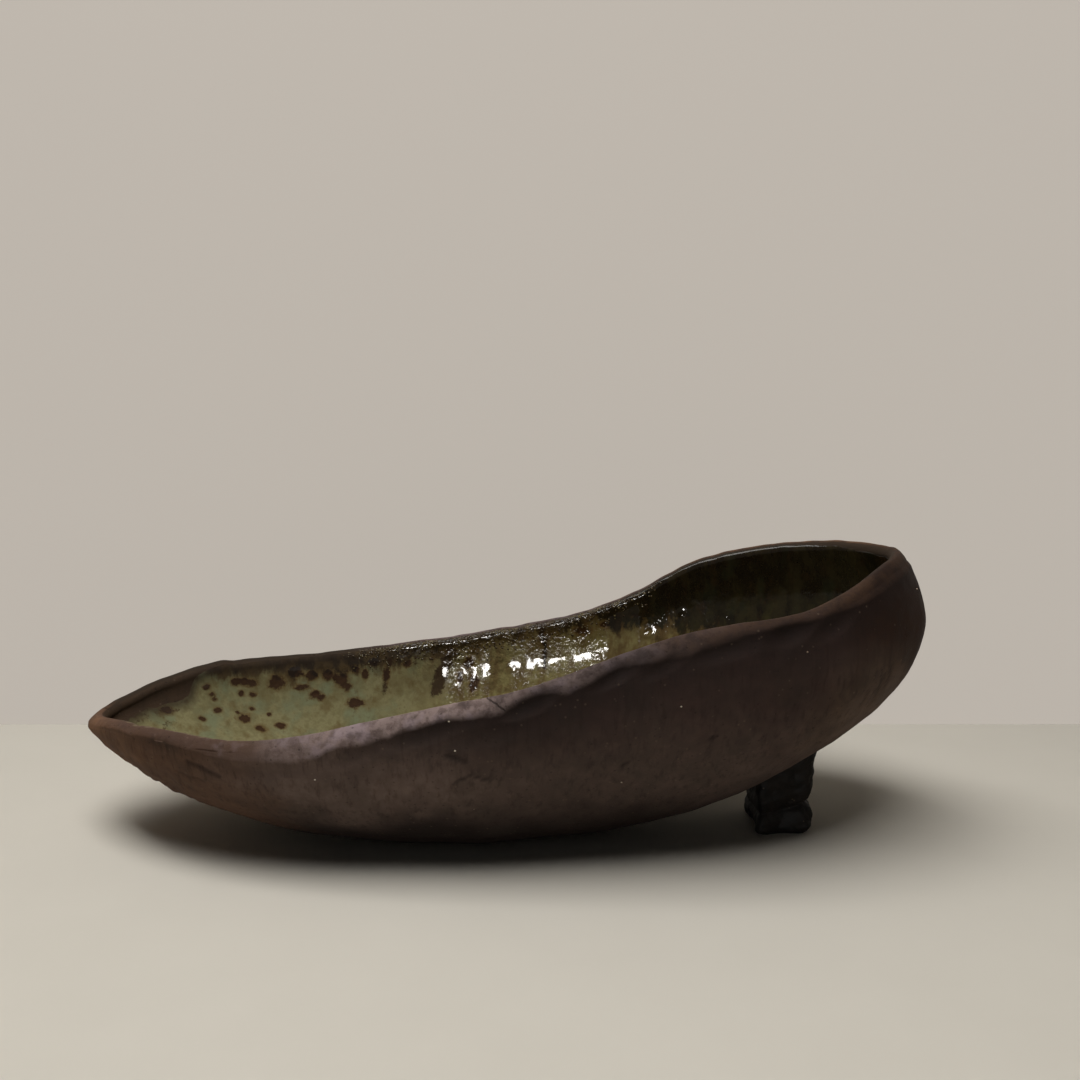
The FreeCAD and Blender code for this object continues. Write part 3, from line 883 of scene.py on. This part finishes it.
def iron_ash_glaze():
    """Running glaze: celadon, olive, then near black along the basin, with iron spots and runs."""
    finish, place = start_finish("iron ash glaze")
    tree = place.tree
    fine = noise_at(place, 0.0034, 5.0, 0.62)
    runny = noise_at(place, 0.0042, 4.0, 0.6, (1, 1, 2.6))
    blotchy = noise_at(place, 0.0075, 5.0, 0.62, (1, 1, 1.5))
    milky = noise_at(place, 0.014, 3.0)
    rusty = noise_at(place, 0.0055, 5.0, 0.65, (1, 1, 1.8))
    veil = noise_at(place, 0.0065, 4.0, 0.62, (1, 1, 2.2))
    broad_veil = noise_at(place, 0.012, 3.0, 0.6, (1, 1, 1.6))
    cloudy = noise_at(place, 0.011, 4.0, 0.6)
    swayed = (noise_at(place, 0.030, 3.0) - 0.5) * 0.09
    along = node(tree, "ShaderNodeSeparateXYZ", {0: place}) + swayed
    far_end = between(along, 0.030, 0.085)

    # The three glazes that it runs through, and a brown one near the lip
    green = blend(between(fine, 0.3, 0.7), tone(116, 109, 75), tone(141, 136, 99))
    green = painted(green, [
        (between(milky, 0.45, 0.65) * 0.8, (120, 127, 98)),
        (between(blotchy, 0.50, 0.70) * 0.7, (104, 88, 54)),
        (between(fine, 0.54, 0.72) * 0.5, (84, 72, 47)),
    ])
    amber = blend(between(runny, 0.36, 0.62), tone(108, 92, 56), tone(133, 124, 80))
    amber = blend(between(blotchy, 0.44, 0.68) * 0.65, amber, tone(84, 63, 37))
    night = painted(tone(17, 13, 8), [
        (between(blotchy, 0.40, 0.72) * named(tree, "deep"), (62, 58, 30)),
        (between(rusty, 0.50, 0.72) * 0.45, (58, 40, 22)),
        (between(veil, 0.46, 0.66) * 0.75, (44, 39, 23)),
        (between(broad_veil, 0.52, 0.70) * 0.5, (30, 38, 26)),
    ])
    rim_brown = blend(between(blotchy, 0.44, 0.62), tone(42, 29, 16), tone(84, 67, 40))
    burnt = blend(0.5, rim_brown, tone(30, 20, 11))
    rim_brown = blend(between(fine, 0.45, 0.62), rim_brown, burnt)
    fired_dark = named(tree, "dark") + ((runny - 0.5) * 4.2 + (blotchy - 0.5) * 5.5)
    darkness = between(fired_dark, -0.2, 1.1)
    lightness = 1.0 - darkness
    colour = painted(blend(between(along, -0.060, 0.010), green, amber), [
        (between(cloudy, 0.45, 0.7) * 0.35, (90, 74, 40)),
        (between(fired_dark, -0.9, 0.5) * 0.55, (82, 58, 30)),
    ])
    colour = blend(darkness * 0.95, colour, blend(far_end, rim_brown, night))

    # Iron spots and runs where the eye sees them, strays elsewhere, all with frayed edges
    frayed = (fine - 0.5) * 1.6 + (noise_at(place, 0.0014, 3.0) - 0.5) * 0.7
    iron_spot = named(tree, "iron") + frayed
    cells = node(tree, "ShaderNodeTexVoronoi", {"Vector": place, "Scale": 95.0, "Randomness": 1.0})
    lot = node(tree, "ShaderNodeSeparateColor", {0: cells["Color"]})
    stray = (lot[0] * 0.62 - cells["Distance"]) * maths("GREATER_THAN", lot[1], 0.45)
    stray = between(stray * 3.0 + frayed * 1.3, 0.10, 0.5) * (1.0 - named(tree, "chosen"))
    run = between(named(tree, "runs") + frayed * 1.5, -0.3, 0.35)
    dry = named(tree, "dry")
    core = blend(lightness, tone(36, 23, 12), tone(58, 38, 20))
    colour = blend(between(iron_spot, -0.45, 0.15) * lightness * 0.7, colour, tone(98, 74, 40))
    colour = painted(blend(between(iron_spot, 0.0, 0.35), colour, core), [
        (between(iron_spot, 0.45, 0.8) * 0.25 * lightness, (78, 52, 28)),
        (stray * 0.85, (66, 44, 24)),
        (run * 0.9, (50, 31, 16)),
        (dry * 0.75, (40, 27, 14)),
        (near_crack(place, WALL_CRACK, 0.0008) * 0.9, (22, 15, 8)),
    ])

    # Glossy, but silky toward the tip, dull in patches and dry at its edge
    worn = between(noise_at(place, 0.0026, 4.0, 0.65), 0.45, 0.8) * (0.18 - far_end * 0.15)
    silky = (1.0 - between(iron_spot, -0.1, 0.3) * 0.3) * between(along, -0.014, -0.045)
    dulled = between(named(tree, "dull") + (fine - 0.5) * 1.4 + (blotchy - 0.5) * 1.6, 0.4, 0.7)
    rough = maths("MAXIMUM", 0.09 + worn + silky * 0.7, between(dry, 0.05, 0.6) * 0.8)
    rough = maths("MAXIMUM", rough, dulled * 0.92)
    matte = maths("MAXIMUM", dulled, maths("MAXIMUM", dry, silky))

    # Ripples, dimples, a fine peel, pinholes, and froth on the lip behind
    links = {"Vector": place, "Scale": 620.0, "Randomness": 1.0}
    pins = between(node(tree, "ShaderNodeTexVoronoi", links)["Distance"], 0.30, 0.10)
    relief = noise_at(place, 0.0045, 2.0, 0.5) * 2.6 + noise_at(place, 0.0011, 3.0, 0.6) * 0.35
    relief = relief + noise_at(place, 0.0024, 2.0, 0.5) * 1.5 - pins * 0.35
    relief = relief + noise_at(place, 0.0016, 2.0, 0.5) * named(tree, "pimpled") * 2.4
    relief = relief * (1.0 - maths("MAXIMUM", far_end, silky) * 0.85)
    surface({
        "Base Color": colour, "Roughness": rough, "Specular IOR Level": 0.22,
        "Coat Weight": (1.0 - matte) * 0.22, "Coat Roughness": 0.06,
    }, relief, 0.7, 0.0005)
    return finish


def mark_coat(coat, name, values, unseen=0.0):
    """Keeps a number on the face of the glaze, with one value all over its unseen back."""
    back_rows = np.full((UNSEEN_ROWS, STATIONS), unseen)
    mark(coat, name, np.concatenate([back_rows, values]))


glaze = loft("glaze_coat", np.concatenate([glass_back, glass_face]))
mark_coat(glaze, "worked", ramp(from_edge, 0, 3))
mark_coat(glaze, "iron", iron, -2.0)
mark_coat(glaze, "runs", runs_down, -2.0)
deep = lip_z - tall
fade = 4.5 + 5 * ramp(across, 70, 100)
mark_coat(glaze, "dark", (np.interp(across, *DARK_DEPTH.T) - deep) / fade, -3.0)
mark_coat(glaze, "deep", ramp(deep, 14, 46))
far_wall = ramp(from_edge, 5, 8) * ramp(from_edge, 50, 40) * behind
mark_coat(glaze, "dull", far_wall * np.interp(across, *DULL_PATCHES.T))
mark_coat(glaze, "pimpled", mid_lip * hump(from_edge, 0.8, 2.6) * behind)
dry = (1 - 0.9 * mid_lip) * ramp(from_edge, 7.5, 1.5)
mark_coat(glaze, "dry", dry * (1 - 0.8 * ramp(across, 55, 85)))
mark_coat(glaze, "chosen", ramp(far, 0, 12) * (across > -145))
worked_by(
    glaze, hand_worked, Finish=iron_ash_glaze(),
    Lump_height=0.0005, Lump_size=0.02, Drag_height=0.00035, Drag_size=0.0055,
)
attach(glaze, "root")
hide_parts("glaze_lining")


# Glaze bubbles
# Beads of glass that boiled up and set along the far lip and round the dark bands, where the glaze
# ran thin over hot clay. Each is a low dome sunk in the coat.
BUBBLE_SIZE = 0.0006
BUBBLES_PER_AREA = 1.4e6


def bubble_tree():
    """Strews low domes of random size over the parts of a coat that its numbers mark as bubbled."""
    sizes = ["Bubbles per area", "Bubble size"]
    takes = {"Geometry": ["Coat"], "Float": sizes, "Material": ["Finish"]}
    gives = {"Geometry": ["Bubbles"]}
    tree, given = start_group("bubbles in the glaze", "GeometryNodeTree", takes, gives)
    crowd = kept_number(tree, "bubbled") * given["Bubbles per area"]
    links = {"Mesh": given["Coat"], "Density": crowd, "Seed": 3}
    places = node(tree, "GeometryNodeDistributePointsOnFaces", links)
    links = {"Segments": 8, "Rings": 4, "Radius": given["Bubble size"]}
    dome = node(tree, "GeometryNodeMeshUVSphere", links)
    low = node(tree, "GeometryNodeTransform", {"Geometry": dome, "Scale": (1, 1, 0.55)})
    beads = strewn_by_size(tree, places["Points"], low, (0.35, 1.1, 4), places["Rotation"])
    hand_over(tree, beads, given["Finish"], "Bubbles")
    return tree


def bead_glass():
    """Brown glass of the bubbles, some greener, as glossy as the coat that they stand in."""
    finish, place = start_finish("bead glass")
    patchy = noise_at(place, 0.006, 3.0)
    colour = blend(between(patchy, 0.4, 0.65), tone(62, 46, 30), tone(104, 92, 62))
    surface({
        "Base Color": colour, "Roughness": patchy * 0.16 + 0.06, "Specular IOR Level": 0.3,
        "Coat Weight": 0.15, "Coat Roughness": 0.05,
    }, noise_at(place, 0.0006, 2.0), 0.3, 0.0001)
    return finish


near_lip = hump(from_edge, 1.2, 2.2) * behind
brown_band = hump(from_edge, 7, 3.5) * behind * 0.22
bubbles = in_scene("bubbles", glaze.data.copy())
mark_coat(bubbles, "bubbled", (near_lip + brown_band) * mid_lip)
worked_by(
    bubbles, bubble_tree(), Finish=bead_glass(),
    Bubbles_per_area=BUBBLES_PER_AREA, Bubble_size=BUBBLE_SIZE,
)
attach(bubbles, "root")


# The foot
# A lump torn off a block of dark clay and pressed up under the raised end while both were soft:
# its sides kept the ragged tear and its top squeezed into the wall. It stands flat on the table.
FOOT_MIDDLE = np.array((142.5, 1.5))
FOOT_LENGTH = 28.0
FOOT_WIDTH = 36.0
FOOT_ROWS = 110
FOOT_AROUND = 320
SQUEEZED_IN = 1.2

# Its outline from the front left corner round to the right, as shares of its half length and width
FOOT_OUTLINE = np.array([
    (-0.94, -0.98), (-0.40, -1.00), (0.25, -0.96), (0.78, -0.90), (1.00, -0.42), (0.94, 0.20),
    (0.86, 0.74), (0.42, 1.00), (-0.20, 0.94), (-0.80, 0.98), (-1.00, 0.48), (-0.90, -0.24),
])

# How it swells and leans on the way up: share of its height, share of its outline, shift right
FOOT_LEVELS = np.array([
    (0.00, 0.84, 0.00), (0.05, 0.95, 0.00), (0.11, 1.00, 0.00), (0.22, 0.99, -0.01),
    (0.31, 0.94, -0.03), (0.37, 0.88, -0.04), (0.44, 0.95, -0.02), (0.56, 1.01, 0.00),
    (0.80, 1.03, 0.01), (1.10, 1.05, 0.02),
])

# Folds where the clay tore in steps: height on the foot, how deep, how tall, slope to the right
FOLDS = (
    (0.375, 1.4, 0.03, 0.0), (0.62, 0.6, 0.04, 0.10), (0.84, 0.9, 0.045, -0.08),
    (0.13, 0.5, 0.03, 0.05),
)


def wall_above(x, y):
    """Height of the underside of the basin over a place on the table."""
    met = wall_shape.ray_cast(Vector((x, y, -1)) * 0.001, up)
    return met[0].z * 1000


def torn(place, strand):
    """Broad smooth faces that meet in creases, as stiff clay tears."""
    return abs(noise.noise(place + Vector((9.1 * strand, 0, 0)))) * 2 - 0.5


corners = np.linspace(0, 1, len(FOOT_OUTLINE), endpoint=False)
outline = closed_curve(FOOT_OUTLINE, corners, np.arange(FOOT_AROUND) / FOOT_AROUND)
outline = outline * (FOOT_LENGTH / 2, FOOT_WIDTH / 2)
rises = np.linspace(0, 1, FOOT_ROWS)
levels, swells, drifts = FOOT_LEVELS.T
swells = np.interp(rises, levels, swells)
drifts = np.interp(rises, levels, drifts) * FOOT_LENGTH / 2
lump = np.zeros((FOOT_ROWS, FOOT_AROUND, 3))
for row, (rise, swell, drift) in enumerate(zip(rises, swells, drifts)):
    for n, (x, y) in enumerate(outline * swell):
        z = wall_above(x + drift + FOOT_MIDDLE[0], y + FOOT_MIDDLE[1]) * rise
        here = Vector((x, y, z * 0.8))
        ragged = 1.5 * torn(here / 13, 1) + 0.55 * torn(here / 6, 2) + 0.12 * torn(here / 2.2, 3)
        creased = 0.8 + 0.5 * noise.noise(Vector((x, y, 9)) / 9)
        creased *= 0.25 + 0.75 * min(1, max(0, x / 9))
        for middle, deepest, tallness, slope in FOLDS:
            slant = middle + slope * x / FOOT_LENGTH + 0.05 * noise.noise(Vector((x, y, 3)) / 12)
            ragged -= deepest * creased * math.exp(-(((rise - slant) / tallness) ** 2))
        ragged *= 0.35 + 0.65 * min(1, rise / 0.06)
        reach = 1 + ragged / math.hypot(x, y)
        lump[row, n] = (x * reach + drift + FOOT_MIDDLE[0], y * reach + FOOT_MIDDLE[1], z)


def squeezed(ring):
    """Pushes a ring of points up, a little way into the underside of the basin."""
    ring[:, 2] = [wall_above(x, y) + SQUEEZED_IN for x, y in ring[:, :2]]
    return ring


def drawn_in(ring, share):
    """A ring of points drawn in toward the middle of the foot, to a share of its size."""
    smaller = ring.copy()
    smaller[:, :2] = FOOT_MIDDLE + (ring[:, :2] - FOOT_MIDDLE) * share
    return smaller


squeezed(lump[-1])
shares = (0.85, 0.65, 0.4, 0.15)
roof = [squeezed(drawn_in(lump[-1], share)) for share in shares]
sole = [drawn_in(lump[0], share) for share in shares[::-1]]


def torn_clay():
    """Near-black clay, partly painted shade: satin ridges, dull hollows, lightly dusted where it
    was handled.
    """
    finish, place = start_finish("torn clay")
    clay = clay_at(place, 0.0008)
    mottle = clay["Mottle"]
    dusty = between(noise_at(place, 0.009, 4.0, 0.65), 0.52, 0.75)
    # Dark clay made darker still as painted shade, for the shade under the raised end
    colour = blend(between(mottle, 0.3, 0.7), tone(16, 14, 11), tone(34, 28, 22))
    colour = painted(colour, [
        (dusty * 0.3, (46, 39, 33)),
        (clay["Pale grains"] * 0.4, (120, 106, 90)),
    ])
    rough = mottle * 0.35 + 0.5
    relief = clay["Tooth"] + noise_at(place, 0.0035, 3.0, 0.55, (1, 1, 0.5))
    looks = {"Base Color": colour, "Roughness": rough, "Specular IOR Level": 0.14}
    surface(looks, relief, 0.5, 0.0006)
    return finish


foot = loft("torn_foot", np.concatenate([sole, lump, roof]))
foot.data.materials.append(torn_clay())
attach(foot, "root")
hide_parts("foot")


# Table and backdrop
# A pale warm table top and a pale grey sheet close behind it. Neither is part of the basin, and
# both are seen from their front only, so that the basin can be looked at from behind and below.
TABLE_BACK = 0.157
REACH = 2.0
SHEET_TOP = 1.4


def plain_sheet(name, colour, thrown, roughness, glow):
    """A plain sheet, clear from its back, that throws a dimmer tone on the basin than is seen."""
    finish, place = start_finish(name)
    tree = place.tree
    rays = node(tree, "ShaderNodeLightPath")
    looked_at = rays["Is Camera Ray"]
    shown_to = maths("MAXIMUM", looked_at, rays["Is Glossy Ray"])
    shown_to = maths("MAXIMUM", shown_to, rays["Is Transmission Ray"])
    seen = blend(noise_at(place, 0.05, 3.0) * 0.12, colour, tone(170, 164, 152))
    matte = node(tree, "ShaderNodeBsdfPrincipled", {
        "Base Color": blend(looked_at, thrown, seen), "Roughness": roughness,
        "Specular IOR Level": 0.15,
    })
    bright = node(tree, "ShaderNodeEmission", {"Color": colour, "Strength": 0.92})
    face = node(tree, "ShaderNodeMixShader", {0: shown_to * glow, 1: matte, 2: bright})
    gone = node(tree, "ShaderNodeNewGeometry")["Backfacing"] * looked_at
    clear = node(tree, "ShaderNodeBsdfTransparent")
    shown = node(tree, "ShaderNodeMixShader", {0: gone, 1: face, 2: clear})
    node(tree, "ShaderNodeOutputMaterial", {"Surface": shown})
    return finish


def sheet_of(name, near_edge, far_edge, finish):
    """One flat face between two edges, each given by its place back and its height in metres."""
    corners = [(-REACH, *near_edge), (REACH, *near_edge), (REACH, *far_edge), (-REACH, *far_edge)]
    mesh = bpy.data.meshes.new(name)
    mesh.from_pydata(corners, [], [(0, 1, 2, 3)])
    mesh.materials.append(finish)
    in_scene(name, mesh)


table_top = plain_sheet("table top", tone(222, 218, 208), tone(190, 185, 176), 0.8, 0.0)
paper = plain_sheet("backdrop paper", tone(206, 198, 188), tone(172, 166, 157), 0.9, 0.8)
sheet_of("table", (-REACH, 0), (TABLE_BACK, 0), table_top)
sheet_of("backdrop", (TABLE_BACK, 0), (TABLE_BACK, SHEET_TOP), paper)


# Light
# One broad soft lamp above, a little to the left and to the front, a small far one that only
# glints in the glaze, and a room that is seen as mid grey and throws hardly any light.


def hang_lamp(name, place, size, power, aim, glint_only=False):
    """A flat lamp of a size in metres, hung at a place and turned to face another."""
    shade = bpy.data.lights.new(name, "AREA")
    shade.shape = "RECTANGLE"
    shade.size, shade.size_y = size
    shade.energy = power
    shade.color = (1.0, 0.975, 0.94)
    hung = in_scene(name, shade)
    hung.location = place
    hung.rotation_euler = (Vector(aim) - Vector(place)).to_track_quat("-Z", "Y").to_euler()
    hung.visible_diffuse = not glint_only


hang_lamp(
    "soft lamp", place=(-0.26, -0.22, 1.35), size=(1.50, 0.60), power=19.4, aim=(0.0, 0.0, 0.05),
)
hang_lamp(
    "far lamp", place=(-0.10, -1.50, 0.44), size=(0.10, 0.18), power=8.5, aim=(0.01, 0.05, 0.06),
    glint_only=True,
)
room = bpy.data.worlds.new("room")
room.use_nodes = True
air = room.node_tree
rays = node(air, "ShaderNodeLightPath")
seen_air = maths("MAXIMUM", rays["Is Camera Ray"], rays["Is Glossy Ray"])
nearly_dark, mid_grey = (0.016, 0.0155, 0.0148, 1.0), tone(112, 108, 102)
air_colour = blend(seen_air, nearly_dark, mid_grey)
air.links.new(air_colour.socket, air.nodes["Background"].inputs["Color"])
bpy.context.scene.world = room
bpy.context.scene.view_settings.view_transform = "Standard"


# Camera
# It stands half a metre in front and a hand's breadth above the raised end, square to the long
# side, and looks down a little.
EYE_PLACE = (0.02947, -0.525, 0.20907)
FOCAL_LENGTH = 38.6
LOOKS_DOWN = 8.0
eye = bpy.data.cameras.new("camera")
eye.sensor_width = 36.0
eye.lens = FOCAL_LENGTH
camera = in_scene("camera", eye)
camera.location = EYE_PLACE
camera.rotation_euler = (math.radians(90.0 - LOOKS_DOWN), 0.0, 0.0)
bpy.context.scene.camera = camera
